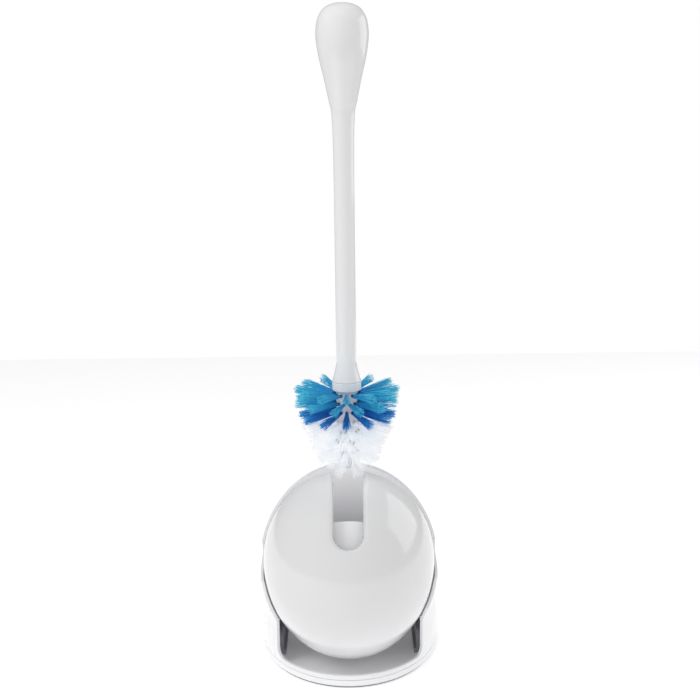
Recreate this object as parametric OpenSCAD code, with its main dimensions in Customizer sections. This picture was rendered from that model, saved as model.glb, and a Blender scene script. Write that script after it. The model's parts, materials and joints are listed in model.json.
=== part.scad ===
// Toilet brush holder: a standing housing with a ball-shaped cover that swings open as the brush is lifted.
// Frame: origin on the surface it stands on, +Z up, the open front faces -Y, and the cover's pivot runs along X.
// Angles on the ball are measured about the pivot, from straight ahead (-Y), over the top, towards the back.

/* [Ball cover] */
// Half width of the ball along the pivot
ball_half_w = 70; // [60:0.5:85]
// Radius of the ball about the pivot
ball_r = 80; // [70:0.5:96]
// Wall of the cover
cover_wall = 1.8; // [1.2:0.1:2.6]
// Room under the ball, down to the surface it stands on
ball_lift = 6; // [5.5:0.5:12]
// Angle of the cover's rear edge when it stands open
cover_rear_angle = 84; // [78:1:90]
// Angle of the cover's lower edge when it stands open
cover_low_angle = -112; // [-116:1:-100]
// How far the cover swings from open to closed, in degrees
swing = 52; // [40:1:54]
// Width of the slot that lets the stem in
slot_w = 25.5; // [20:0.5:30]
// Angle of the slot's lower end when the cover stands open
slot_low_angle = 27.4; // [24:0.2:34]
// Depth of the flange that is turned in around the slot
slot_flange = 5; // [3:0.5:6]

/* [Housing] */
// Gap between the cover and the hood
hood_gap = 1.2; // [0.8:0.1:2.5]
// Wall of the housing
housing_wall = 2.4; // [1.8:0.1:3]
// Angle of the hood's front edge
hood_angle = 124; // [120:1:128]
// How far the base stands out beside the hood
base_flare = 0.4; // [0:0.1:12]
// Place of the base's widest line behind the pivot
base_mid_y = 35; // [20:1:45]
// Distance from the pivot to the front of the lip
lip_reach = 57.5; // [50:0.5:75]
// How far the base stands out behind the hood
base_tail = 0; // [-2:0.2:20]
// Height of the front lip's top
lip_z = 10.6; // [10:0.1:14]
// Place of the front opening's side edges
opening_y = -20; // [-24:0.5:-14]
// Height of the seam between the base and the shell
seam_z = 6.5; // [6:0.1:7.5]
// Height of the foot ring
foot_h = 2; // [1.5:0.1:2.5]

/* [Cup and its linkage] */
// Gap between the drip cup's side and a hinge bracket
cup_side_gap = 6; // [5.5:0.5:12]
// Gap between the drip cup and the cover
cup_gap = 12.2; // [11.7:0.1:20]
// Wall of the drip cup
cup_wall = 2; // [1.4:0.1:2.5]
// Angle of the drip cup's front rim
cup_rim_angle = 48.5; // [44:0.5:56]
// Angle of the drip cup's rear rim
cup_rear_angle = 174; // [150:1:177]
// Throw of the crank pins
crank_throw = 9.5; // [9:0.1:10]
// Radius of the crank pins
crank_pin_r = 1.75; // [1.5:0.05:2]
// Radius of the pivot pins
pivot_pin_r = 2.5; // [2:0.1:3]
// Thickness of a hinge bracket
bracket_t = 4; // [3:0.1:4.5]
// Distance from a hinge bracket to the ball's side
bracket_inset = 15; // [14:0.1:15.5]

/* [Brush] */
// Height of the lifted brush's nose above the ball
nose_gap = 0; // [-2:0.5:20]
// Length of the bristle core from nose to collar
core_l = 64.2; // [58:0.1:75]
// Radius of the bristle core
core_r = 8.5; // [7:0.1:10]
// Height of the collar
collar_h = 7.4; // [5:0.1:10]
// Radius of the collar
collar_r = 11.5; // [9.5:0.1:12]
// Length of the handle from collar to tip
handle_l = 290.5; // [250:0.5:340]
// Radius of the stem
stem_r = 7.9; // [6.5:0.1:8.5]
// Radius of the knob
knob_r = 20; // [16:0.5:24]
// Reach of the blue bristles from the brush's axis
blue_reach = 42; // [34:0.5:43]
// Reach of the longest white bristles
white_reach = 37.5; // [30:0.5:38]

/* [Hidden] */
$fn = 72;
e = 0.01;

far = 300;                          // longer than the whole base, for cutting blocks
pivot_z = ball_r + ball_lift;       // height of the pivot above the surface
bracket_x = ball_half_w - bracket_inset;
cover_in = [ball_half_w - cover_wall, ball_r - cover_wall];
hood_in = [ball_half_w + hood_gap, ball_r + hood_gap];
hood_out = [hood_in[0] + housing_wall, hood_in[1] + housing_wall];
base_half_w = hood_out[0] + base_flare;
base_front = lip_reach + base_mid_y;
base_rear = hood_out[1] + base_tail - base_mid_y;
cup_half_w = bracket_x - cup_side_gap;
cup_r = ball_r - cover_wall - cup_gap;
nose_z = pivot_z + ball_r + nose_gap;
hood_edge_shift = -3;               // the hood's edge passes this far ahead of the pivot
opening_round = 8;                  // radius in the lower corners of the front opening
side_rise = 16;                     // the housing's wall stands upright this far above the seam
pivot_notch_r = 17.5;               // the housing's wall is cut away this far around the pivot
slot_round = 12.5;                   // radius in the slot's lower corners
slot_axis_angle = 56;               // the slot is cut square to the ball at this angle
pole_cap_r = 12;                    // the cover keeps a whole cap this wide around its pivot

tray_floor_z = foot_h + 2;
rim_t = 5;                          // width of the tray's rim, which carries the shell
foot_inset = 1.5;                   // the ring stands this far inside the base
foot_w = 5.5;                       // width of the soft ring

screw_r = 1.5;
screw_head_r = 3;
screw_head_h = 2;
screw_l = 15;
boss_r = 4.5;
boss_top = 22;
boss_foot = tray_floor_z + 3;       // tray pads and shell bosses meet here
shell_screws = [[base_half_w - 7.5, base_mid_y - 13], [38, base_mid_y + base_rear - 18]];

bracket_foot_z = tray_floor_z + 1.5;
bracket_foot_w = 8;
bracket_mid_x = bracket_x + bracket_t / 2;
bracket_screw_y = [-1, 28];
bracket_screw_l = 9;
rail_y = [24, 32];                  // front and back faces of the upright that guides the carrier
arm_z = [8, 16];                    // underside and top of the arm, from the pivot
pivot_boss_r = pivot_pin_r + 3;
foot_plate = [-8, 36, 26];          // front, back and top of the bracket's foot

running = 0.05;                     // radial clearance on the pivot pins
slide_gap = 0.35;                   // clearance on the guide rails and crank pins
crank_x = bracket_x + bracket_t + 1;
crank_arm_t = 2.3;
hub_r = 7;
spigot = 9;                         // square drive between crank and cover
spigot_l = 3.8;
cover_boss_r = 9;
cover_boss_x = crank_x + crank_arm_t + 0.1;
spigot_end = cover_boss_x + spigot_l;
pivot_pin_end = spigot_end - 1.7;
open_angle = swing / 2;             // the crank stands this far above level when open
crank_at = crank_throw * [cos(open_angle), sin(open_angle)];
crank_pin_x = cup_half_w + 1.8;

carrier_gap = 0.3;
carrier_t = 3;
carrier_in = [cup_half_w + carrier_gap, cup_r + carrier_gap];
carrier_out = [bracket_x - 1, cup_r + carrier_gap + carrier_t];
strap_y = [-14, 36];
strap_top = 10;
lug_y = [rail_y[0] - 4, rail_y[1] + 4];
lug_z = [-10, 6];
lug_x = [carrier_in[0] - 6, bracket_x + bracket_t - 0.8];
cup_foot_r = 14;
cup_foot_drop = 1.4;                // the cup's foot stands this far below its round bottom
cup_foot_z = pivot_z - cup_r - cup_foot_drop;

collar_z = nose_z + core_l;         // underside of the collar
handle_z = collar_z + collar_h;     // joint between head and handle
stud_r = 5;
stud_up = 22;
stud_down = 18;
root_r = core_r - 2.5;              // tufts are stapled in holes of this depth

// ---------- shapes shared by several pieces ----------

// A solid of revolution about the pivot with an oval profile
module oval_ball(size) {
    translate([0, 0, pivot_z]) rotate([0, 90, 0]) rotate_extrude()
        intersection() {
            scale([size[1], size[0]]) circle(r = 1);
            translate([0, -size[0]]) square([size[1], 2 * size[0]]);
        }
}

// Extrudes a side view, drawn as (Y, Z from the pivot), from x0 to x1
module from_side(x0, x1) {
    translate([x0, 0, pivot_z]) rotate([90, 0, 90]) linear_extrude(x1 - x0) children();
}

// A fan between two angles about the pivot, in side view
module fan(start, end, reach) {
    steps = ceil((end - start) / 30);
    polygon(concat([[0, 0]], [for (i = [0:steps])
        let (a = start + (end - start) * i / steps) reach * [-cos(a), sin(a)]]));
}

module both_sides() {
    children();
    mirror([1, 0, 0]) children();
}

// Plan of the base: half an oval ahead of its widest line and half behind it
module base_outline(grow) {
    for (half = [[base_front, -far], [base_rear, 0]])
        intersection() {
            translate([0, base_mid_y]) scale([base_half_w + grow, half[0] + grow]) circle(r = 1);
            translate([-far / 2, base_mid_y + half[1]]) square([far, far]);
        }
}

// ---------- housing ----------

// The body of the housing from the seam up, with its wall moved in by inset
module housing_body(size, inset, bottom) {
    intersection() {
        oval_ball(size);
        translate([-far / 2, -far / 2, pivot_z]) cube([far, far, far]);
    }
    hull() {
        translate([0, 0, pivot_z]) linear_extrude(e) scale([size[0], size[1]]) circle(r = 1);
        translate([0, 0, bottom]) linear_extrude(seam_z + side_rise - bottom) base_outline(-inset);
    }
}

// Side view of all that is cut away in front: above the lip, ahead of the side edges and of the hood's edge
module front_cut() {
    along = [-cos(hood_angle), sin(hood_angle)];
    start = hood_edge_shift * [-sin(hood_angle), -cos(hood_angle)];
    low = (opening_y - start[0]) / along[0];
    lip = lip_z - pivot_z;
    polygon(concat([start + far / 2 * along, start + low * along],
        [for (a = [0:15:90]) [opening_y - opening_round, lip + opening_round] + opening_round * [cos(a), -sin(a)]],
        [[-far, lip], [-far, far]]));
}

module shell_boss(at) {
    translate([at[0], at[1], boss_foot]) cylinder(r = boss_r, h = boss_top - boss_foot);
}

module housing_shell() {
    color("white") difference() {
        union() {
            difference() {
                housing_body(hood_out, 0, seam_z);
                housing_body(hood_in, housing_wall, seam_z - 1);
                oval_ball(hood_in);
                from_side(-far / 2, far / 2) {
                    front_cut();
                    circle(r = pivot_notch_r);
                }
            }
            intersection() {
                both_sides() for (at = shell_screws) {
                    shell_boss(at);
                    translate([at[0], at[1] - 1, boss_foot])
                        cube([at[1] > base_mid_y ? 2 : boss_r + 6, at[1] > base_mid_y ? 18 : 2, boss_top - boss_foot]);
                }
                housing_body(hood_out, 0.5, seam_z);
            }
        }
        both_sides() for (at = shell_screws)
            translate([at[0], at[1], boss_foot - 1]) cylinder(r = screw_r, h = screw_l - 2);
    }
}

module tray_pads(places, top) {
    both_sides() for (at = places)
        translate([at[0], at[1], foot_h]) cylinder(r = boss_r, h = top - foot_h);
}

module tray_holes(places, top) {
    both_sides() for (at = places) translate([at[0], at[1], 0]) {
        cylinder(r = screw_head_r + 0.3, h = foot_h + 0.2);
        cylinder(r = screw_r + 0.15, h = top + 1);
    }
}

bracket_screws_at = [for (y = bracket_screw_y) [bracket_mid_x, y]];

module base_tray() {
    color("whitesmoke") difference() {
        union() {
            difference() {
                translate([0, 0, foot_h]) linear_extrude(seam_z - foot_h) base_outline(0);
                translate([0, 0, tray_floor_z]) linear_extrude(seam_z) base_outline(-rim_t);
            }
            tray_pads(shell_screws, boss_foot);
            tray_pads(bracket_screws_at, bracket_foot_z);
        }
        tray_holes(shell_screws, boss_foot);
        tray_holes(bracket_screws_at, bracket_foot_z);
    }
}

// A soft ring under the tray, notched around the screw heads that lie in its way
module foot_ring() {
    color("silver") linear_extrude(foot_h) difference() {
        base_outline(-foot_inset);
        base_outline(-foot_inset - foot_w);
        both_sides() for (at = shell_screws) translate(at) circle(r = screw_head_r + 1);
    }
}

// A pan-head screw driven up from below, its head just inside the tray's underside
module screw(l) {
    head_z = foot_h + 0.2;
    translate([0, 0, head_z - screw_head_h + e]) difference() {
        union() {
            cylinder(r = screw_head_r, h = screw_head_h - e);
            cylinder(r = screw_r, h = screw_head_h + l);
        }
        for (turn = [0, 90]) rotate(turn) translate([-1.8, -0.4, -1]) cube([3.6, 0.8, 2]);
    }
}

module base_screws() {
    color("gray") both_sides() for (at = shell_screws) translate([at[0], at[1], 0]) screw(screw_l);
}

module bracket_screws() {
    color("gray") both_sides() for (at = bracket_screws_at) translate([at[0], at[1], 0]) screw(bracket_screw_l);
}

// ---------- hinge brackets, which carry the cover and guide the cup ----------

module bracket_side_view() {
    low = bracket_foot_z - pivot_z;
    top = foot_plate[2] - pivot_z;
    // foot
    translate([foot_plate[0], low]) square([foot_plate[1] - foot_plate[0], top - low - 8]);
    translate([foot_plate[0] + 8, low]) square([foot_plate[1] - foot_plate[0] - 8, top - low]);
    translate([foot_plate[0] + 8, top - 8]) circle(r = 8);
    // guide rail, arm and the drop to the pivot
    translate([rail_y[0], low]) square([rail_y[1] - rail_y[0], arm_z[1] - low]);
    translate([-pivot_boss_r, arm_z[0]]) square([rail_y[1] + pivot_boss_r, arm_z[1] - arm_z[0]]);
    translate([-pivot_boss_r + 1, 0]) square([2 * pivot_boss_r - 2, arm_z[1]]);
    circle(r = pivot_boss_r);
}

module hinge_bracket() {
    color("darkgray") difference() {
        union() {
            from_side(bracket_x, bracket_x + bracket_t) bracket_side_view();
            translate([bracket_mid_x - bracket_foot_w / 2, foot_plate[0], bracket_foot_z])
                cube([bracket_foot_w, foot_plate[1] - foot_plate[0], 4]);
        }
        from_side(bracket_x - 1, bracket_x + bracket_t + 1) circle(r = pivot_pin_r);
        for (y = bracket_screw_y) translate([bracket_mid_x, y, bracket_foot_z - 1])
            cylinder(r = screw_r, h = bracket_screw_l);
    }
}
module hinge_bracket_right() { hinge_bracket(); }
module hinge_bracket_left() { mirror([1, 0, 0]) hinge_bracket(); }

module pivot_pin() {
    color("lightsteelblue") from_side(bracket_x, pivot_pin_end) circle(r = pivot_pin_r);
}
module pivot_pin_right() { pivot_pin(); }
module pivot_pin_left() { mirror([1, 0, 0]) pivot_pin(); }

// Soft pads under the brackets' arms that the crank pins come to rest against when the cover is open
module stop_pads() {
    color("dimgray") both_sides() from_side(bracket_x + 0.4, bracket_x + bracket_t - 0.4)
        translate([crank_at[0] - 2, crank_at[1] + crank_pin_r + 0.2])
            square([4, arm_z[0] - crank_at[1] - crank_pin_r - 0.2]);
}

// ---------- cover and its cranks ----------

// A block with rounded lower corners, standing square on the ball where the slot is cut
module slot_block(grow) {
    low = -ball_r * sin(slot_axis_angle - slot_low_angle) - grow;
    w = slot_w + 2 * grow;
    r = min(slot_round, slot_w / 2 - 0.2) + grow;
    translate([0, 0, pivot_z]) rotate([90 - slot_axis_angle, 0, 0]) translate([0, 0, 30])
        linear_extrude(ball_r) {
            translate([-w / 2, low + r]) square([w, ball_r]);
            translate([-w / 2 + r, low]) square([w - 2 * r, ball_r]);
            for (side = [-1, 1]) translate([side * (w / 2 - r), low + r]) circle(r = r);
        }
}

module front_cover() {
    color("white") difference() {
        union() {
            intersection() {
                difference() {
                    oval_ball([ball_half_w, ball_r]);
                    difference() {
                        oval_ball(cover_in);
                        difference() {
                            slot_block(cover_wall);
                            oval_ball([ball_half_w - slot_flange, ball_r - slot_flange]);
                        }
                    }
                }
                from_side(-far / 2, far / 2) {
                    fan(cover_low_angle, cover_rear_angle, far / 2);
                    circle(r = pole_cap_r);
                }
            }
            both_sides() from_side(cover_boss_x, ball_half_w - cover_wall) circle(r = cover_boss_r);
        }
        slot_block(0);
        both_sides() from_side(cover_boss_x - 1, spigot_end) rotate(open_angle)
            square(spigot + 0.2, center = true);
    }
}

module crank() {
    color("darkgray") difference() {
        union() {
            from_side(crank_x, crank_x + crank_arm_t) {
                circle(r = hub_r);
                rotate(open_angle) translate([0, -crank_pin_r * 2]) square([crank_throw, crank_pin_r * 4]);
                translate(crank_at) circle(r = crank_pin_r * 2);
            }
            from_side(crank_x + crank_arm_t - e, spigot_end) rotate(open_angle) square(spigot, center = true);
            from_side(crank_pin_x, crank_x + e) translate(crank_at) circle(r = crank_pin_r);
        }
        from_side(crank_x - 1, pivot_pin_end + 0.4) circle(r = pivot_pin_r + running);
    }
}
module crank_right() { crank(); }
module crank_left() { mirror([1, 0, 0]) crank(); }

// ---------- cup and carrier ----------

module cup_carrier() {
    color("gainsboro") difference() {
        union() {
            intersection() {
                oval_ball(carrier_out);
                from_side(-far / 2, far / 2) translate([strap_y[0], -far])
                    square([strap_y[1] - strap_y[0], far + strap_top]);
            }
            both_sides() from_side(lug_x[0], lug_x[1]) translate([lug_y[0], lug_z[0]])
                square([lug_y[1] - lug_y[0], lug_z[1] - lug_z[0]]);
        }
        oval_ball(carrier_in);
        translate([0, 0, cup_foot_z]) cylinder(r = cup_foot_r + carrier_gap, h = 20);
        // channels that run on the guide rails
        both_sides() from_side(bracket_x - slide_gap, far / 2) translate([rail_y[0] - slide_gap, -far / 2])
            square([rail_y[1] - rail_y[0] + 2 * slide_gap, far]);
        // level slots for the crank pins
        both_sides() from_side(carrier_in[0] - 2, carrier_out[0] + 2)
            translate([crank_at[0] - crank_pin_r - slide_gap - 0.3, crank_at[1] - crank_pin_r - slide_gap])
                square([crank_throw - crank_at[0] + 2 * (crank_pin_r + slide_gap + 0.3), 2 * (crank_pin_r + slide_gap)]);
    }
}

module drip_cup() {
    color("white") difference() {
        union() {
            oval_ball([cup_half_w, cup_r]);
            translate([0, 0, cup_foot_z]) cylinder(r = cup_foot_r, h = cup_foot_drop + cup_wall);
        }
        oval_ball([cup_half_w - cup_wall, cup_r - cup_wall]);
        from_side(-far / 2, far / 2) fan(cup_rim_angle, cup_rear_angle, far / 2);
    }
}

// ---------- brush ----------

// Smooth curve through points [z, radius], n steps between each pair
function blend(p0, p1, p2, p3, t) =
    0.5 * ((2 * p1) + (p2 - p0) * t + (2 * p0 - 5 * p1 + 4 * p2 - p3) * t * t
        + (3 * p1 - p0 - 3 * p2 + p3) * t * t * t);
function smooth(p, n) = [for (i = [0:len(p) - 2], k = [0:n - 1])
    blend(p[max(i - 1, 0)], p[i], p[i + 1], p[min(i + 2, len(p) - 1)], k / n)];

// Radii along the handle, up from its joint with the head
handle_curve = [[stem_r + 3.6, 0], [stem_r + 2.6, 3.5], [stem_r + 0.2, 14], [stem_r, 24], [stem_r, 90],
    [stem_r + 0.1, handle_l - 120], [stem_r + 0.9, handle_l - 84], [0.55 * knob_r, handle_l - 71.5],
    [0.71 * knob_r, handle_l - 56], [0.88 * knob_r, handle_l - 41.5], [0.97 * knob_r, handle_l - 31],
    [knob_r, handle_l - 22], [0.93 * knob_r, handle_l - 12], [0.73 * knob_r, handle_l - 5],
    [0.49 * knob_r, handle_l - 1.8]];

module handle() {
    color("white") translate([0, 0, handle_z]) difference() {
        rotate_extrude() polygon(concat([[0, 0]], smooth(handle_curve, 4),
            [[0.49 * knob_r, handle_l - 1.8], [0.25 * knob_r, handle_l - 0.4], [0, handle_l]]));
        translate([0, 0, -1]) cylinder(r = stud_r, h = stud_up + 1);
    }
}

module handle_stud() {
    color("lightgray") translate([0, 0, handle_z - stud_down]) cylinder(r = stud_r, h = stud_down + stud_up - 1);
}

module brush_head() {
    color("white") difference() {
        union() {
            translate([0, 0, collar_z]) cylinder(r = collar_r, h = collar_h);
            translate([0, 0, nose_z + 6]) cylinder(r = core_r, h = core_l - 6 + e);
            translate([0, 0, nose_z]) cylinder(r1 = core_r - 3, r2 = core_r, h = 6);
        }
        translate([0, 0, handle_z - stud_down]) cylinder(r = stud_r, h = stud_down + 1);
    }
}

// One row of tufts around the core: where it leaves the core, how many, the tips' reach and their rise
module tuft_row(z, count, reach, rise, tip_r, turn) {
    run = reach - root_r;
    for (i = [0:count - 1]) rotate(turn + 360 * i / count) translate([root_r, 0, z])
        rotate([0, 90 - atan2(rise, run), 0]) cylinder(r1 = 1.4, r2 = tip_r, h = norm([run, rise]));
}

blue_count = 12;
white_count = 11;
blue_z = [for (drop = [4, 10.5, 17]) collar_z - drop];
white_z = [for (drop = [25.5, 34, 42.5, 51]) collar_z - drop];
half_blue = 180 / blue_count;
half_white = 180 / white_count;

module blue_tufts_upper() { color("skyblue") tuft_row(blue_z[0], blue_count, blue_reach, 5, 3, 0); }
module blue_tufts_middle() { color("deepskyblue") tuft_row(blue_z[1], blue_count, blue_reach, 2, 3, half_blue); }
module blue_tufts_lower() { color("royalblue") tuft_row(blue_z[2], blue_count, blue_reach - 3, -4, 3, 0); }
module white_tufts_1() { color("white") tuft_row(white_z[0], white_count, white_reach, -3, 3, half_white); }
module white_tufts_2() { color("white") tuft_row(white_z[1], white_count, white_reach - 4, -3, 3, 0); }
module white_tufts_3() { color("white") tuft_row(white_z[2], white_count, white_reach - 8, -3, 2.8, half_white); }
module white_tufts_4() { color("white") tuft_row(white_z[3], white_count, white_reach - 12, -4, 2.6, 0); }

// Tufts on the nose, one straight down and a ring around it
module nose_tufts() {
    color("white") {
        translate([0, 0, nose_z - 5]) cylinder(r1 = 2.4, r2 = 1.2, h = 8);
        for (i = [0:4]) rotate(18 + 72 * i) translate([3.2, 0, nose_z + 2.5]) rotate([0, 122, 0])
            cylinder(r1 = 1, r2 = 2.2, h = 14);
    }
}

// Flat wire anchors that hold the tufts at the bottom of their holes
module tuft_anchors() {
    color("silver") {
        for (row = [[blue_z[0], blue_count, 0], [blue_z[1], blue_count, half_blue], [blue_z[2], blue_count, 0],
                [white_z[0], white_count, half_white], [white_z[1], white_count, 0],
                [white_z[2], white_count, half_white], [white_z[3], white_count, 0]])
            for (i = [0:row[1] - 1]) rotate(row[2] + 360 * i / row[1])
                translate([root_r - 0.5, -0.9, row[0] - 0.2]) cube([0.5, 1.8, 0.4]);
    }
}

housing_shell();
base_tray();
foot_ring();
base_screws();
hinge_bracket_left();
hinge_bracket_right();
bracket_screws();
pivot_pin_left();
pivot_pin_right();
stop_pads();
front_cover();
crank_left();
crank_right();
cup_carrier();
drip_cup();
handle();
handle_stud();
brush_head();
blue_tufts_upper();
blue_tufts_middle();
blue_tufts_lower();
white_tufts_1();
white_tufts_2();
white_tufts_3();
white_tufts_4();
nose_tufts();
tuft_anchors();
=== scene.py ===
# Toilet brush holder: its looks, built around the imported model.
# Metres, +Z up, the open front faces -Y, and the cover's pivot runs along X.
import json
import math

import bmesh
import bpy
import numpy as np
from mathutils import Matrix, Vector


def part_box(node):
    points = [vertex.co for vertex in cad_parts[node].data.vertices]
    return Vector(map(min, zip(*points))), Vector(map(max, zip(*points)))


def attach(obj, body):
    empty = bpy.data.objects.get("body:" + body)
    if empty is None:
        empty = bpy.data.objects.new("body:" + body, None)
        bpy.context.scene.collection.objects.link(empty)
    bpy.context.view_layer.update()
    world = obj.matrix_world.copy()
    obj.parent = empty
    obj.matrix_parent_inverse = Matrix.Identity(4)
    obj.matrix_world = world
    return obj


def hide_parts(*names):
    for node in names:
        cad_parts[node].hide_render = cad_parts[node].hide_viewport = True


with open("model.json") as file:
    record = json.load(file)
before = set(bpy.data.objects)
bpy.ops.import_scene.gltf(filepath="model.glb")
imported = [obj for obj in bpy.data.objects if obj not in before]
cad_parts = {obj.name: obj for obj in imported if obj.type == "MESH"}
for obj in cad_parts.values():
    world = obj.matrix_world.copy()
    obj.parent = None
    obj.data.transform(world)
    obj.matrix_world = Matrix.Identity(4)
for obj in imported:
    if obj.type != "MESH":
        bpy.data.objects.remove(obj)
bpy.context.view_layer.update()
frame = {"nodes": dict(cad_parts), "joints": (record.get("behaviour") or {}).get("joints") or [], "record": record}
nodes = frame["nodes"]
mm = 0.001

# ---------- camera ----------
# A 64 mm lens a metre away, level with the handle's upper part, tilted down, with a slight lean to one side.
camera = bpy.data.objects.new("camera", bpy.data.cameras.new("camera"))
bpy.context.collection.objects.link(camera)
camera.data.sensor_width = 36
camera.data.lens = 64.29
camera.data.dof.use_dof = False
camera.location = (0.003, -0.9643, 0.484)
camera_pitch = math.radians(90 - 12.94)
camera_lean = math.radians(-0.716)
camera.rotation_euler = (Matrix.Rotation(camera_pitch, 3, "X") @ Matrix.Rotation(camera_lean, 3, "Z")).to_euler()
bpy.context.scene.camera = camera

# ---------- housing shell ----------
# The standing body: a hood over the ball that runs down into an upright wall, one moulding in glossy white ABS
# 2.4 mm thick. It is screwed to the base from below, and its front is open from the lip to the hood's edge.


class Num:
    """A number in a material that Python's operators work on."""

    def __init__(self, finish, socket):
        self.finish = finish
        self.socket = socket

    def _with(self, operation, *values):
        return self.finish.add("ShaderNodeMath", "Value", {"operation": operation}, *values)

    def __add__(self, other):
        return self._with("ADD", self, other)

    def __mul__(self, other):
        return self._with("MULTIPLY", self, other)

    __radd__ = __add__
    __rmul__ = __mul__


class Finish:
    """A material: a Principled shader with constant settings, whose varying inputs are set afterwards."""

    def __init__(self, name, **constants):
        self.material = bpy.data.materials.new(name)
        self.material.use_nodes = True
        self.nodes = self.material.node_tree.nodes
        self.links = self.material.node_tree.links
        self.shader = self.nodes["Principled BSDF"]
        for socket, value in constants.items():
            self.shader.inputs[socket.replace("_", " ")].default_value = value

    def put(self, socket, value):
        if isinstance(value, Num):
            self.links.new(value.socket, socket)
        elif value is not None:
            socket.default_value = value

    def add(self, kind, output, settings, *inputs, **named):
        """A node of any kind: its settings, then its inputs in order or by name; returns one output."""
        node = self.nodes.new(kind)
        for name, value in settings.items():
            if name == "stops":
                for i, (place, colour) in enumerate(value):
                    stop = node.color_ramp.elements[i] if i < 2 else node.color_ramp.elements.new(place)
                    stop.position = place
                    stop.color = colour
            else:
                setattr(node, name, value)
        for i, value in enumerate(inputs):
            self.put(node.inputs[i], value)
        for name, value in named.items():
            self.put(node.inputs[name.replace("_", " ")], value)
        return Num(self, node.outputs[output])

    def place(self):
        return self.add("ShaderNodeTexCoord", "Object", {})

    def noise(self, scale, detail=3.0, roughness=0.5, stretch=None):
        place = self.place()
        if stretch:
            place = self.add("ShaderNodeMapping", "Vector", {}, place, Scale=stretch)
        return self.add("ShaderNodeTexNoise", "Fac", {}, Vector=place, Scale=scale, Detail=detail,
                        Roughness=roughness)

    def blend(self, amount, colour_a, colour_b):
        mix = self.nodes.new("ShaderNodeMix")
        mix.data_type = "RGBA"
        for socket, value in zip((mix.inputs[0], mix.inputs[6], mix.inputs[7]), (amount, colour_a, colour_b)):
            self.put(socket, value)
        return Num(self, mix.outputs[2])

    def bump(self, height, depth):
        normal = self.add("ShaderNodeBump", "Normal", {}, Strength=1.0, Distance=depth, Height=height)
        self.set(Normal=normal)

    def set(self, **varying):
        for name, value in varying.items():
            self.put(self.shader.inputs[name.replace("_", " ")], value)


def moulded_plastic(name, colour, roughness, coat=0.0, grain=4e-6, grain_scale=900, painted_glow=0.0):
    """Moulded plastic: faint clouding in the colour, smudges in the gloss and the mould's fine orange peel.
    Thin white walls let some light through. The glow argument paints that light on as an even glow in the plastic's
    own colour, which is painted light."""
    finish = Finish(name, IOR=1.5, Coat_Weight=coat, Coat_Roughness=0.06, Coat_IOR=1.5, Emission_Strength=painted_glow,
                    Emission_Color=(*colour, 1))
    shade = [0.965 * c for c in colour]
    finish.set(Base_Color=finish.blend(finish.noise(14, 4), (*shade, 1), (*colour, 1)))
    smudge = finish.noise(38, 6, 0.62)
    finish.set(Roughness=roughness * (0.75 + 0.5 * smudge))
    finish.bump(finish.noise(grain_scale, 2) + 0.4 * finish.noise(3 * grain_scale, 1), grain)
    return finish.material


def make_piece(name, bm, material, body, slot, *replaced):
    """Turns a bmesh into a piece of the object that rides on a body and stands for CAD nodes."""
    mesh = bpy.data.meshes.new(name)
    bm.to_mesh(mesh)
    bm.free()
    mesh.shade_smooth()
    mesh.materials.append(material)
    piece = bpy.data.objects.new(name, mesh)
    bpy.context.collection.objects.link(piece)
    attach(piece, body)
    if replaced:
        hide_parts(*replaced)
    return piece


def thicken(piece, wall):
    """Gives a sheet its wall, inwards from the outer face."""
    wall_maker = piece.modifiers.new("wall", "SOLIDIFY")
    wall_maker.thickness = wall
    wall_maker.offset = -1


def round_off(piece, width, steps=3, angle=50):
    """Rounds a piece's sharp edges, as the mould leaves them."""
    rounding = piece.modifiers.new("rounding", "BEVEL")
    rounding.width = width
    rounding.segments = steps
    rounding.limit_method = "ANGLE"
    rounding.angle_limit = math.radians(angle)
    rounding.miter_outer = "MITER_ARC"
    rounding.harden_normals = False


def loft(rings, around):
    """A sheet through rings, each a function from the turn about the Z axis to a place."""
    bm = bmesh.new()
    turn = bm.verts.layers.float.new("turn")
    bmesh.ops.create_circle(bm, cap_ends=False, segments=around, radius=1)
    for vert in bm.verts:
        vert[turn] = math.atan2(vert.co.y, vert.co.x)
    verts, edges = list(bm.verts), list(bm.edges)
    for ring in rings:
        if ring is not rings[0]:
            made = bmesh.ops.extrude_edge_only(bm, edges=edges)["geom"]
            verts = [g for g in made if isinstance(g, bmesh.types.BMVert)]
            edges = [g for g in made if isinstance(g, bmesh.types.BMEdge)]
            fresh = set(verts)
            edges = [e for e in edges if e.verts[0] in fresh and e.verts[1] in fresh]
        for vert in verts:
            vert.co = ring(vert[turn])
    bmesh.ops.remove_doubles(bm, verts=bm.verts, dist=0.00002)
    bmesh.ops.recalc_face_normals(bm, faces=bm.faces)
    return bm


def inside(point, outline):
    """Whether a 2-D point lies in a closed outline."""
    found = False
    for (ax, ay), (bx, by) in zip(outline, outline[1:] + outline[:1]):
        if (ay > point[1]) != (by > point[1]) and point[0] < ax + (point[1] - ay) * (bx - ax) / (by - ay):
            found = not found
    return found


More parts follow.
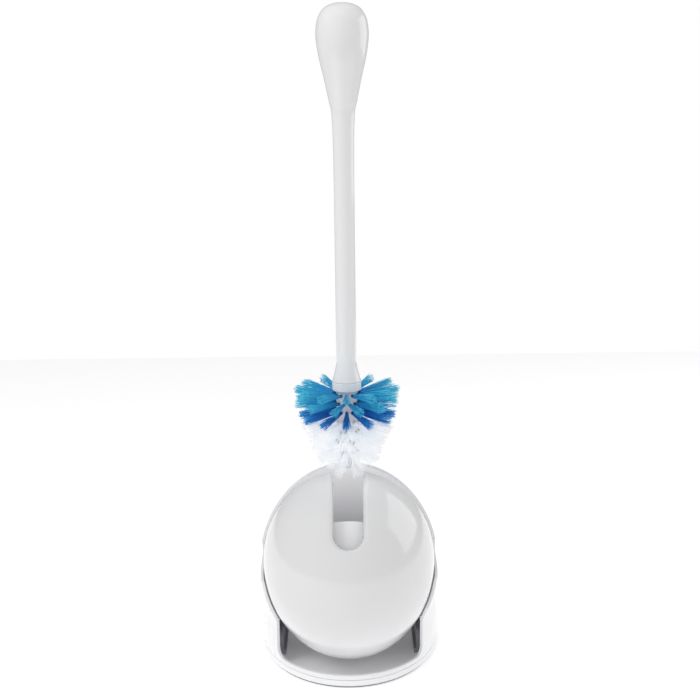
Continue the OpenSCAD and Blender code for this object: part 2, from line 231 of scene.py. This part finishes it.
def cut_outline(bm, outline, origin, right, up, keep_side=None):
    """Cuts a sheet along an outline drawn in a plane and takes away what lies in it, through the whole sheet
    or, with keep_side, only on the side of the plane that this direction points to."""
    along = right.cross(up)

    def flat(place):
        return ((place - origin).dot(right), (place - origin).dot(up))

    def on_side(face):
        return keep_side is None or (face.calc_center_median() - origin).dot(keep_side) > 0

    for (ax, ay), (bx, by) in zip(outline, outline[1:] + outline[:1]):
        edge = right * (bx - ax) + up * (by - ay)
        if edge.length < 1e-7:
            continue
        step = edge.normalized()
        start = origin + right * ax + up * ay
        reach = edge.length + 2 * mm
        near = []
        for face in bm.faces:
            spans = [(v.co - start).dot(step) for v in face.verts]
            if min(spans) < reach and max(spans) > -2 * mm and on_side(face):
                near.append(face)
        geometry = near + list({e for f in near for e in f.edges}) + list({v for f in near for v in f.verts})
        bmesh.ops.bisect_plane(bm, geom=geometry, dist=1e-7, plane_co=start, plane_no=step.cross(along))
    gone = [f for f in bm.faces if on_side(f) and inside(flat(f.calc_center_median()), outline)]
    bmesh.ops.delete(bm, geom=gone, context="FACES")
    bmesh.ops.remove_doubles(bm, verts=bm.verts, dist=0.00002)


def arc(middle, radius, start, end, steps):
    """Points on a circle, from one angle to another, in degrees."""
    angles = [math.radians(start + (end - start) * i / steps) for i in range(steps + 1)]
    return [(middle[0] + radius * math.cos(a), middle[1] + radius * math.sin(a)) for a in angles]


joints = {j["name"]: j for j in frame["joints"]}
pivot = Vector(joints["cover_swing"]["pos_m"])
foot_low, foot_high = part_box("base_tray")
base_half_w = foot_high.x
base_mid = 35 * mm
base_front = base_mid - foot_low.y
base_rear = foot_high.y - base_mid
cover_low, cover_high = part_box("front_cover")
ball = (cover_high.x, pivot.y - cover_low.y)
housing_wall = 2.4 * mm
hood = (ball[0] + 1.2 * mm + housing_wall, ball[1] + 1.2 * mm + housing_wall)
seam_z = foot_high.z
wall_top = seam_z + 34 * mm
hood_lean = math.radians(124)


def base_place(turn, z):
    """A place on the base's plan: half an oval ahead of its widest line and half an oval behind it."""
    depth = base_front if math.sin(turn) < 0 else base_rear
    return Vector((base_half_w * math.cos(turn), base_mid + depth * math.sin(turn), z))


def hood_place(turn, lift):
    return pivot + Vector((hood[0] * math.cos(lift) * math.cos(turn), hood[1] * math.cos(lift) * math.sin(turn),
                           hood[1] * math.sin(lift)))


def wall_place(turn, part):
    """A place on the wall between the base's plan and the hood, kept outside the ball."""
    spot = base_place(turn, wall_top).lerp(hood_place(turn, 0), part)
    room = 1 - (spot.y ** 2 + (spot.z - pivot.z) ** 2) / hood[1] ** 2
    if room > 0 and abs(spot.x) > hood[0] / 3:
        spot.x = math.copysign(max(abs(spot.x), hood[0] * math.sqrt(room)), spot.x)
    return spot


rings = [lambda turn, z=seam_z + 0.1 * mm + (wall_top - seam_z) * i / 6: base_place(turn, z) for i in range(6)]
rings += [lambda turn, part=i / 10: wall_place(turn, part) for i in range(10)]
rings += [lambda turn, lift=math.radians(90 * i / 20): hood_place(turn, lift) for i in range(21)]
bm = loft(rings, 144)
slope = Vector((-math.cos(hood_lean), math.sin(hood_lean)))
line_start = -3 * mm * Vector((-math.sin(hood_lean), -math.cos(hood_lean)))
notch_r = 17.5 * mm
chord = math.sqrt(notch_r ** 2 - line_start.length ** 2)
upper, lower = line_start + chord * slope, line_start - chord * slope
opening_y = -20 * mm
lip = 10.6 * mm - pivot.z
corner = 8 * mm
low_end = line_start + (opening_y - line_start.x) / slope.x * slope
front_cut = [tuple(line_start + 0.2 * slope)]
front_cut += arc((0, 0), notch_r, math.degrees(math.atan2(upper.y, upper.x)),
                 math.degrees(math.atan2(lower.y, lower.x)), 18)
front_cut.append(tuple(low_end))
front_cut += arc((opening_y - corner, lip + corner), corner, 0, -90, 8)
front_cut += [(-0.3, lip), (-0.3, 0.3)]
cut_outline(bm, front_cut, pivot, Vector((0, 1, 0)), Vector((0, 0, 1)))
# Painted light: the housing's white plastic glows evenly at 0.08, standing for light coming through its thin walls.
housing_white = moulded_plastic("housing_white", (0.83, 0.83, 0.84), 0.26, 0.4, painted_glow=0.08)
shell = make_piece("housing_skin", bm, housing_white, "housing", "housing_white", "housing_shell")
thicken(shell, housing_wall)
round_off(shell, 0.7 * mm)
# Painted light: the hood's inner face glows, dark low down and lighter towards the top, standing for the studio's
# light coming through the thin hood.
painted_dark_below, painted_light_above = 0.085, 0.150
least_painted_light = 0.08
hood_white = (0.83, 0.83, 0.84, 1)
hood_inside_painted_light = Finish("hood_inside_painted_light", IOR=1.5, Emission_Strength=0.42)
height = hood_inside_painted_light.add("ShaderNodeSeparateXYZ", "Z", {}, hood_inside_painted_light.place())
painted_light_level = hood_inside_painted_light.add("ShaderNodeMapRange", "Result", {}, height, painted_dark_below, painted_light_above, least_painted_light, 1.0)
hood_inside_painted_light.set(Emission_Color=hood_inside_painted_light.blend(painted_light_level, (0, 0, 0, 1), hood_white))
hood_inside_painted_light.set(Base_Color=hood_inside_painted_light.blend(hood_inside_painted_light.noise(14, 4), (0.79, 0.79, 0.8, 1), hood_white))
hood_inside_painted_light.set(Roughness=0.3 + 0.1 * hood_inside_painted_light.noise(38, 6, 0.62))
# The wall's inner face takes this painted-light material.
shell.data.materials.append(hood_inside_painted_light.material)
shell.modifiers["wall"].material_offset = 1

# ---------- screw bosses ----------
# Four round bosses moulded inside the wall, each over a pad of the base, that take the screws from below.
boss_h = 15 * mm
boss_mid_z = 14.5 * mm
boss_places = ((base_half_w - 7.5 * mm, base_mid - 13 * mm), (38 * mm, base_mid + base_rear - 18 * mm))
bm = bmesh.new()
for x, y in boss_places:
    for side in (-1, 1):
        bmesh.ops.create_cone(bm, cap_ends=True, segments=32, radius1=4.5 * mm, radius2=4.4 * mm, depth=boss_h,
                              matrix=Matrix.Translation((side * x, y, boss_mid_z)))
bosses = make_piece("screw_bosses", bm, housing_white, "housing", "housing_white")
round_off(bosses, 0.5 * mm)

# ---------- base and foot ----------
# A shallow tray in the same white plastic closes the housing below, and a soft grey ring under it keeps it from
# sliding. Pan-head steel screws come up through the tray.
record = frame["record"]
body_of = {node: body for body, members in record["behaviour"]["bodies"].items() for node in members}
slot_of = {part["node"]: part["material_slot"] for part in record["subparts"]}


def refine(node, material, width, steps=2):
    """A CAD node's own shape with its edges rounded off, in place of the node."""
    bm = bmesh.new()
    bm.from_mesh(nodes[node].data)
    bmesh.ops.remove_doubles(bm, verts=bm.verts, dist=2e-6)
    bmesh.ops.dissolve_limit(bm, angle_limit=math.radians(0.5), verts=bm.verts, edges=bm.edges)
    piece = make_piece(node + "_fine", bm, material, body_of[node], slot_of[node], node)
    round_off(piece, width, steps, 35)
    piece.data.set_sharp_from_angle(angle=math.radians(40))
    return piece


def coat(node, material):
    """Gives a CAD node whose shape is right its material."""
    nodes[node].data.materials.clear()
    nodes[node].data.materials.append(material)


def soft_rubber(name, colour, roughness):
    """Rubber: matt, with dust in its colour and a fine grain."""
    finish = Finish(name, IOR=1.45, Specular_IOR_Level=0.3)
    dusty = [0.7 * c + 0.12 for c in colour]
    finish.set(Base_Color=finish.blend(finish.noise(60, 5), (*colour, 1), (*dusty, 1)))
    finish.set(Roughness=roughness + 0.15 * finish.noise(200, 3))
    finish.bump(finish.noise(2400, 2), 0.00002)
    return finish.material


def turned_steel(name, tint, roughness):
    """Zinc-plated or ground steel, with fine lines and a few stains."""
    finish = Finish(name, Metallic=1.0)
    stain = finish.noise(120, 5)
    finish.set(Base_Color=finish.blend(stain, (*[0.85 * c for c in tint], 1), (*tint, 1)))
    finish.set(Roughness=roughness * (0.7 + 0.6 * finish.noise(300, 3, stretch=(1, 1, 12))))
    finish.bump(finish.noise(1500, 2, stretch=(1, 1, 8)), 0.000004)
    return finish.material


# Painted light: the tray's white plastic glows evenly at 0.07, standing for light coming through its thin floor.
refine("base_tray", moulded_plastic("tray_white", (0.86, 0.86, 0.87), 0.3, 0.3, painted_glow=0.07), 0.5 * mm, 3)
refine("foot_ring", soft_rubber("foot_soft", (0.3, 0.31, 0.33), 0.7), 0.4 * mm)
screw_steel = turned_steel("screw_steel", (0.62, 0.63, 0.65), 0.3)
refine("base_screws", screw_steel, 0.2 * mm)
refine("bracket_screws", screw_steel, 0.2 * mm)

# ---------- hinge brackets, pins and pads ----------
# One grey acetal bracket on each side stands on the tray, guides the cup on its upright rail and carries the cover
# on a steel pin. A rubber pad under its arm stops the crank without a knock.
bracket_grey = moulded_plastic("bracket_grey", (0.27, 0.28, 0.31), 0.42, 0.0, 8e-6, 1600)
pin_steel = turned_steel("pin_steel", (0.72, 0.73, 0.75), 0.18)
for side in ("left", "right"):
    refine("hinge_bracket_" + side, bracket_grey, 0.4 * mm)
    coat("pivot_pin_" + side, pin_steel)
coat("stop_pads", soft_rubber("pad_rubber", (0.04, 0.04, 0.045), 0.8))

# ---------- cover ----------
# The ball-shaped cover: a thin shell of polished white ABS, moulded as a solid of revolution about its pivot.
# The slot that lets the stem in has a wide rolled rim and a flange turned in behind it.


def oval_place(angle, size):
    """A point of a ball's outline ahead of the pivot, from its left pole (0) to its right pole (pi)."""
    return pivot + Vector((-size[0] * math.cos(angle), -size[1] * math.sin(angle), 0))


def oval_sheet(size, start, end, across, around):
    """A sheet of revolution about the pivot, from one angle to another, measured from ahead over the top."""
    bm = bmesh.new()
    outline = [bm.verts.new(oval_place(math.pi * i / across, size)) for i in range(across + 1)]
    edges = [bm.edges.new(pair) for pair in zip(outline, outline[1:])]
    bmesh.ops.rotate(bm, verts=outline, cent=pivot, matrix=Matrix.Rotation(-start, 3, "X"))
    bmesh.ops.spin(bm, geom=outline + edges, cent=pivot, axis=(1, 0, 0), angle=start - end, steps=around)
    bmesh.ops.remove_doubles(bm, verts=bm.verts, dist=0.00001)
    bmesh.ops.recalc_face_normals(bm, faces=bm.faces)
    bm.faces.ensure_lookup_table()
    probe = bm.faces[len(bm.faces) // 2]
    if probe.normal.dot(probe.calc_center_median() - pivot) < 0:
        bmesh.ops.reverse_faces(bm, faces=bm.faces)
    return bm


def roll_rim(bm, rim, radius, turn_in):
    """Rolls the edges of a sheet's opening inwards through a quarter circle, then turns a flange in behind them.
    The radius is a function of the place, so a rim can run out to nothing."""
    state = {}
    for vert in {v for e in rim for v in e.verts}:
        out = Vector()
        for edge in (e for e in vert.link_edges if e in rim):
            face = edge.link_faces[0]
            side = (edge.verts[1].co - edge.verts[0].co).cross(face.normal).normalized()
            if side.dot(face.calc_center_median() - edge.verts[0].co) > 0:
                side.negate()
            out += side
        state[vert] = (out.normalized(), vert.normal.copy(), radius(vert.co))
    ring = list(rim)
    steps = 6
    bend = [math.pi / 2 * i / steps for i in range(steps + 1)]
    moves = [(math.sin(b) - math.sin(a), math.cos(b) - math.cos(a)) for a, b in zip(bend, bend[1:])]
    moves += [(0, -turn_in)]
    for ahead, inward in moves:
        made = bmesh.ops.extrude_edge_only(bm, edges=ring)["geom"]
        fresh = {g for g in made if isinstance(g, bmesh.types.BMVert)}
        ring = [g for g in made if isinstance(g, bmesh.types.BMEdge) and g.verts[0] in fresh and g.verts[1] in fresh]
        carried = {}
        for vert in fresh:
            old = next(e.other_vert(vert) for e in vert.link_edges if e.other_vert(vert) not in fresh)
            out, normal, size = state[old]
            vert.co = old.co + out * size * ahead + normal * size * inward
            carried[vert] = (out, normal, size)
        state = carried


cover_wall = 1.8 * mm
cover_from, cover_to = math.radians(-112), math.radians(84)
slot_half = 12.75 * mm
slot_round = 12.5 * mm
slot_roll = 3.3 * mm
slot_low = math.radians(27.4)
slot_facing = math.radians(56)
slot_top = ball[1] * math.sin(cover_to - slot_facing)
run_out = 14 * mm
facing = Vector((0, -math.cos(slot_facing), math.sin(slot_facing)))
climb = Vector((0, math.sin(slot_facing), math.cos(slot_facing)))


def rim_radius(place):
    """The slot's rim is rolled to one radius and runs out to nothing where it meets the cover's rear edge."""
    part = min(max((slot_top - (place - pivot).dot(climb)) / run_out, 0), 1)
    return slot_roll * math.sin(math.pi / 2 * part)


def slot_outline():
    """The slot's outline before its rim is rolled, on a plane square to the ball; rounded below."""
    low = -ball[1] * math.sin(slot_facing - slot_low)
    right_side = arc((slot_half - slot_round, low + slot_round), slot_round + slot_roll, -90, 0, 16)
    for i in range(1, 17):
        up = low + slot_round + (slot_top - low - slot_round) * i / 16
        right_side.append((slot_half + rim_radius(pivot + up * climb), up))
    right_side.append((slot_half, 2 * ball[1]))
    return right_side + [(-x, y) for x, y in reversed(right_side)]


bm = oval_sheet(ball, cover_from, cover_to, 128, 160)
cut_outline(bm, slot_outline(), pivot, Vector((1, 0, 0)), climb, keep_side=facing)
bm.normal_update()
rim = set()
for edge in bm.edges:
    if edge.is_boundary:
        spots = [v.co - pivot for v in edge.verts]
        on_rear_edge = all(abs(math.atan2(s.z, -s.y) - cover_to) < 0.0005 for s in spots)
        if not on_rear_edge and all(abs(s.x) < slot_half + slot_roll + 0.3 * mm and s.dot(facing) > 0.3 * ball[1]
                                    for s in spots):
            rim.add(edge)
roll_rim(bm, rim, rim_radius, 0.55)
bmesh.ops.remove_doubles(bm, verts=bm.verts, dist=0.00002)
cover_white = moulded_plastic("cover_white", (0.76, 0.76, 0.765), 0.16, 0.6)
cover = make_piece("cover_shell", bm, cover_white, "cover", "cover_white", "front_cover")
thicken(cover, cover_wall - 0.1 * mm)
round_off(cover, 0.6 * mm)

# ---------- cranks ----------
# A grey acetal crank sits square in each side of the cover; its pin lifts the cup as the cover opens.
for side in ("left", "right"):
    refine("crank_" + side, bracket_grey, 0.2 * mm)

# ---------- cup and carrier ----------
# The drip cup hangs in a strap-shaped carrier and lifts out for washing. It is a deep white bowl with a rounded
# rim, lower behind than in front, and a flat foot under its round bottom.
coat_grey = moulded_plastic("carrier_grey", (0.42, 0.43, 0.46), 0.4, 0.0, 8e-6, 1600)
refine("cup_carrier", coat_grey, 0.35 * mm)
cup_low, cup_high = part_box("drip_cup")
cup = (cup_high.x, pivot.y - cup_low.y)
# Painted light: the cup's white plastic glows evenly at 0.09, standing for light coming through its thin wall.
cup_white = moulded_plastic("cup_white", (0.82, 0.82, 0.83), 0.32, 0.2, painted_glow=0.09)
bm = oval_sheet(cup, math.radians(174), math.radians(360 + 48.5), 96, 112)
bowl = make_piece("cup_bowl", bm, cup_white, "cup", "cup_white", "drip_cup")
thicken(bowl, 2 * mm)
round_off(bowl, 0.9 * mm)
bm = bmesh.new()
bmesh.ops.create_cone(bm, cap_ends=True, segments=48, radius1=14 * mm, radius2=14 * mm, depth=2.4 * mm,
                      matrix=Matrix.Translation((0, 0, cup_low.z + 1.2 * mm)))
round_off(make_piece("cup_foot", bm, cup_white, "cup", "cup_white"), 0.5 * mm)

# ---------- handle ----------
# A slim handle in polished white plastic, moulded in one with its long oval knob. It screws onto the brush head
# with a short stud, and a collar covers the joint.
handle_low, handle_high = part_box("handle")
handle_l = handle_high.z - handle_low.z
stem_r, knob_r = 7.9 * mm, handle_high.x
outline = [(stem_r + 3.6 * mm, 0), (stem_r + 2.6 * mm, 3.5), (stem_r + 0.2 * mm, 14), (stem_r, 24), (stem_r, 90),
           (stem_r + 0.1 * mm, -120), (stem_r + 0.9 * mm, -84), (0.55 * knob_r, -71.5), (0.71 * knob_r, -56),
           (0.88 * knob_r, -41.5), (0.97 * knob_r, -31), (knob_r, -22), (0.93 * knob_r, -12), (0.73 * knob_r, -5),
           (0.49 * knob_r, -1.8), (0.25 * knob_r, -0.4), (0, 0)]
outline = [Vector((r, z * mm + (handle_l if z < 0 or r == 0 else 0))) for r, z in outline]


def smooth_line(points, steps):
    """A smooth curve through points, with so many steps between each pair."""
    line = []
    for i in range(len(points) - 1):
        p0, p1, p2, p3 = (points[min(max(k, 0), len(points) - 1)] for k in range(i - 1, i + 3))
        for t in (k / steps for k in range(steps)):
            line.append(0.5 * (2 * p1 + (p2 - p0) * t + (2 * p0 - 5 * p1 + 4 * p2 - p3) * t ** 2
                               + (3 * p1 - p0 - 3 * p2 + p3) * t ** 3))
    return line + [points[-1]]


def turned(name, line, material, body, slot, *replaced, steps=72):
    """A piece turned on the brush's axis from an outline of (radius, height) points."""
    bm = bmesh.new()
    verts = [bm.verts.new((max(p[0], 0), 0, p[1])) for p in line]
    edges = [bm.edges.new(pair) for pair in zip(verts, verts[1:])]
    bmesh.ops.spin(bm, geom=verts + edges, cent=(0, 0, 0), axis=(0, 0, 1), angle=2 * math.pi, steps=steps,
                   use_merge=True)
    bmesh.ops.remove_doubles(bm, verts=bm.verts, dist=0.000005)
    bmesh.ops.recalc_face_normals(bm, faces=bm.faces)
    return make_piece(name, bm, material, body, slot, *replaced)


handle_white = moulded_plastic("handle_white", (0.84, 0.84, 0.845), 0.15, 0.7)
line = [Vector((0, 0)), outline[0] - Vector((0.5 * mm, 0)), outline[0] + Vector((-0.12 * mm, 0.12 * mm))]
line += smooth_line([outline[0] + Vector((0, 0.5 * mm))] + outline[1:], 6)
line = [(p.x, p.y + handle_low.z) for p in line]
turned("handle_turned", line, handle_white, "brush", "handle_white", "handle")
coat("handle_stud", moulded_plastic("stud_plastic", (0.6, 0.6, 0.6), 0.5, 0.0, 1e-5, 2000))

# ---------- brush head ----------
# The bristle core and its collar, one moulding in satin white plastic.
head_white = moulded_plastic("head_white", (0.85, 0.86, 0.87), 0.33, 0.2)
refine("brush_head", head_white, 0.9 * mm, 3)

# ---------- bristles ----------
# Crimped nylon filaments, folded into tufts and stapled into the core: three rows of blue ones that scrub under the
# rim and four rows of white ones that taper to the nose, with a few more on the nose itself.
filament_steps = 10
filament_r = 0.26 * mm
draw = np.random.default_rng(7)


def filament(bm):
    """One straight three-sided filament of unit length along X."""
    start = bmesh.ops.create_circle(bm, cap_ends=False, segments=3, radius=1,
                                    matrix=Matrix.Rotation(math.pi / 2, 4, "Y"))["verts"]
    ring = list({e for v in start for e in v.link_edges})
    for _ in range(filament_steps):
        made = bmesh.ops.extrude_edge_only(bm, edges=ring)["geom"]
        fresh = {g for g in made if isinstance(g, bmesh.types.BMVert)}
        ring = [g for g in made if isinstance(g, bmesh.types.BMEdge) and g.verts[0] in fresh and g.verts[1] in fresh]
        bmesh.ops.translate(bm, verts=list(fresh), vec=(1 / filament_steps, 0, 0))
    bmesh.ops.holes_fill(bm, edges=bm.edges, sides=3)
    bmesh.ops.recalc_face_normals(bm, faces=bm.faces)


bm = bmesh.new()
filament(bm)
template = bpy.data.meshes.new("filament")
bm.to_mesh(template)
bm.free()
straight = np.array([v.co for v in template.vertices])
core_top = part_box("brush_head")[1].z
collar_z = core_top - 7.4 * mm
root_r = 6 * mm


def bristles(name, tufts, each, crimps, material, slot, *replaced):
    """Tufts of crimped filaments. Each tuft is (root, tip, spread at the root, spread at the tip), and crimps is
    the least and the most that a filament's waves stand out."""
    bm = bmesh.new()
    for _ in range(len(tufts) * each):
        bm.from_mesh(template)
    piece = make_piece(name, bm, material, "brush", slot, *replaced)
    along, tint = [], []
    spots = []
    for root, tip, root_spread, tip_spread in tufts:
        root, tip = np.array(root), np.array(tip)
        axis = (tip - root) / np.linalg.norm(tip - root)
        side = np.cross(axis, (0.0, 0.0, 1.0))
        side = side / np.linalg.norm(side) if np.linalg.norm(side) > 1e-6 else np.array((1.0, 0.0, 0.0))
        rise = np.cross(side, axis)
        for _ in range(each):
            angle, far = draw.uniform(0, 2 * math.pi), math.sqrt(draw.uniform())
            fan = math.cos(angle) * side + math.sin(angle) * rise
            length = np.linalg.norm(tip - root) * draw.uniform(0.93, 1.04) * (1 - 0.05 * far ** 2)
            start = root + fan * far * root_spread
            bend = draw.normal(0, 1.3, 2) * crimps[1]
            wave, phase = draw.uniform(5.2, 7.4) * mm, draw.uniform(0, 2 * math.pi)
            crimp = draw.uniform(*crimps)
            crimp_to = draw.uniform(0, math.pi)
            shade = draw.uniform()
            t = straight[:, 0]
            widen = fan[None, :] * (far * (tip_spread - root_spread) * (t ** 1.25))[:, None]
            run = axis[None, :] * (length * t)[:, None]
            sway = side[None, :] * (bend[0] * t * t)[:, None] + rise[None, :] * (bend[1] * t * t)[:, None]
            ripple = crimp * np.minimum(1, 4 * t) * np.sin(2 * math.pi * length * t / wave + phase)
            ripple = (math.cos(crimp_to) * side + math.sin(crimp_to) * rise)[None, :] * ripple[:, None]
            thick = filament_r * (1 - 0.25 * t)
            body = side[None, :] * (straight[:, 1] * thick)[:, None]
            body = body + rise[None, :] * (straight[:, 2] * thick)[:, None]
            spots.append(start[None, :] + run + widen + sway + ripple + body)
            along.append(t)
            tint.append(np.full(len(t), shade))
    spots = np.concatenate(spots)
    piece.data.vertices.foreach_set("co", spots.astype(np.float32).ravel())
    for label, values in (("along", along), ("tint", tint)):
        layer = piece.data.attributes.new(label, "FLOAT", "POINT")
        layer.data.foreach_set("value", np.concatenate(values).astype(np.float32))
    piece.data.update()
    return piece


def nylon(name, stops, lighter, roughness, painted_glow):
    """Filaments: a colour that runs from darker at the root to lighter at the tip, painted shade at the roots and
    painted light at the tips, a little different on each one. The light that passes through them is painted on as a
    glow, given as (colour, strength)."""
    finish = Finish(name, IOR=1.53, Specular_IOR_Level=0.5, Emission_Color=(*painted_glow[0], 1), Emission_Strength=painted_glow[1])
    along = finish.add("ShaderNodeAttribute", "Fac", {"attribute_name": "along"})
    tint = finish.add("ShaderNodeAttribute", "Fac", {"attribute_name": "tint"})
    colour = finish.add("ShaderNodeValToRGB", "Color", {"stops": stops}, along)
    finish.set(Base_Color=finish.blend(tint * 0.45, colour, (*lighter, 1)))
    finish.set(Roughness=roughness + 0.15 * tint)
    finish.bump(finish.noise(4000, 2), 0.000003)
    return finish.material


def tuft_ring(drop, count, reach, rise, turn, spread):
    """A row of tufts around the core, as far under the collar as drop says, in millimetres."""
    z = collar_z - drop * mm
    ring = []
    for i in range(count):
        angle = math.radians(turn + 360 * i / count)
        away = np.array((math.cos(angle), math.sin(angle), 0))
        root = away * root_r + np.array((0, 0, z))
        tip = away * (reach * mm + draw.normal(0, 0.4 * mm)) + np.array((0, 0, z + rise * mm))
        ring.append((root, tip, 1.15 * mm, spread * mm))
    return ring


# Two copies of one blue nylon: a lighter one for the upper and middle rows, which is painted light, and a darker one
# for the lower row, which is painted shade. Each runs from darker at the root to lighter at the tip and glows
# weakly, also painted light.
nylon_blue_painted_lit = nylon("bristle_blue_painted_lit", [(0.0, (0.01, 0.10, 0.48, 1)), (0.3, (0.015, 0.28, 0.70, 1)),
                                         (0.65, (0.03, 0.48, 0.80, 1)), (1.0, (0.10, 0.66, 0.86, 1))],
                  (0.08, 0.62, 0.86), 0.34, ((0.02, 0.35, 0.62), 0.06))
nylon_blue_painted_shade = nylon("bristle_blue_painted_shade", [(0.0, (0.008, 0.05, 0.34, 1)), (0.4, (0.008, 0.10, 0.52, 1)),
                                         (0.75, (0.012, 0.20, 0.66, 1)), (1.0, (0.03, 0.36, 0.76, 1))],
                   (0.02, 0.40, 0.80), 0.34, ((0.01, 0.15, 0.62), 0.05))
blues = {"upper": nylon_blue_painted_lit, "middle": nylon_blue_painted_lit, "lower": nylon_blue_painted_shade}
# Painted light: the white filaments glow at 0.2 and run lighter from root to tip, standing for light passing through
# them.
nylon_white = nylon("bristle_white", [(0.0, (0.80, 0.83, 0.87, 1)), (0.5, (0.90, 0.92, 0.94, 1)),
                                      (0.9, (0.95, 0.96, 0.97, 1)), (1.0, (0.96, 0.97, 0.97, 1))],
                    (0.97, 0.97, 0.98), 0.36, ((0.97, 0.98, 1.0), 0.2))
# Each row: its name, its drop under the collar, its reach, its rise at the tips and how far it is turned.
half_white = 180 / 11
blue_rows = (("upper", 4, 41.5, 5, 0), ("middle", 10.5, 42, 2, 15), ("lower", 17, 39, -4, 0))
white_rows = ((1, 25.5, 37.5, -3, half_white), (2, 34, 33.5, -3, 0), (3, 42.5, 29.5, -3, half_white),
              (4, 51, 25.5, -4, 0))
for row, drop, reach, rise, turn in blue_rows:
    bristles("blue_" + row, tuft_ring(drop, 12, reach, rise, turn, 3.7), 56, (0.08 * mm, 0.32 * mm),
             blues[row], "bristle_blue", "blue_tufts_" + row)
for row, drop, reach, rise, turn in white_rows:
    bristles("white_row_" + str(row), tuft_ring(drop, 11, reach, rise, turn, 6.0), 46, (0.35 * mm, 0.8 * mm),
             nylon_white, "bristle_white", "white_tufts_" + str(row))
nose_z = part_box("brush_head")[0].z
nose = [((0, 0, nose_z + 3 * mm), (0, 0, nose_z - 6 * mm), 1.2 * mm, 3.4 * mm)]
for i in range(5):
    angle = math.radians(18 + 72 * i)
    away = np.array((math.cos(angle), math.sin(angle), 0))
    base = away * 3.2 * mm + np.array((0, 0, nose_z + 2.5 * mm))
    nose.append((base, base + away * 12 * mm - np.array((0, 0, 7.4 * mm)), 1.1 * mm, 4.2 * mm))
bristles("nose_bristles", nose, 40, (0.3 * mm, 0.7 * mm), nylon_white, "bristle_white", "nose_tufts")
coat("tuft_anchors", turned_steel("anchor_steel", (0.7, 0.7, 0.7), 0.35))

# ---------- stage and light ----------
# A plain white floor in a bright white studio, with a wide softbox on the right that shows in the gloss, a large
# one high on the left, one above the front that reaches into the mouth, and a weak low one ahead of the base.
bm = bmesh.new()
bmesh.ops.create_grid(bm, x_segments=8, y_segments=8, size=1.1)
floor_data = bpy.data.meshes.new("studio_floor")
bm.to_mesh(floor_data)
bm.free()
paper = Finish("studio_floor", Roughness=0.9, Base_Color=(0.9, 0.9, 0.91, 1), Emission_Color=(1, 1, 1, 1),
               Emission_Strength=0.33, Specular_IOR_Level=0.2)
floor_data.materials.append(paper.material)
floor = bpy.data.objects.new("studio_floor", floor_data)
bpy.context.collection.objects.link(floor)


def softbox(name, place, aim, size, power, reflects=True):
    """A rectangular studio light that looks at a point."""
    light = bpy.data.lights.new(name, "AREA")
    light.shape = "RECTANGLE"
    light.size, light.size_y = size
    light.energy = power
    lamp = bpy.data.objects.new(name, light)
    bpy.context.collection.objects.link(lamp)
    lamp.location = place
    lamp.rotation_euler = (Vector(aim) - Vector(place)).to_track_quat("-Z", "Y").to_euler()
    lamp.visible_glossy = reflects


softbox("softbox_right", (1.2, 0.37, 0.64), (0.04, -0.05, 0.13), (1.1, 0.9), 3.4)
softbox("softbox_left", (-1.3, -0.5, 1.5), (0, 0, 0.2), (0.9, 0.9), 10, False)
softbox("softbox_front", (0.0, -0.62, 1.8), (0, 0, 0.12), (0.5, 0.5), 6, False)
softbox("softbox_low", (0.05, -1.5, 0.42), (0, -0.04, 0.02), (0.6, 0.3), 1.0, False)
world = bpy.data.worlds.new("studio")
bpy.context.scene.world = world
world.use_nodes = True
sky = world.node_tree.nodes["Background"].inputs
sky["Color"].default_value = (1, 1, 1, 1)
seen = world.node_tree.nodes.new("ShaderNodeLightPath").outputs["Is Camera Ray"]
level = world.node_tree.nodes.new("ShaderNodeMapRange")
level.inputs["To Min"].default_value = 0.5
level.inputs["To Max"].default_value = 1.0
world.node_tree.links.new(seen, level.inputs["Value"])
world.node_tree.links.new(level.outputs["Result"], sky["Strength"])
bpy.context.scene.view_settings.view_transform = "Standard"
bpy.context.scene.cycles.max_bounces = 16
bpy.context.scene.cycles.diffuse_bounces = 12
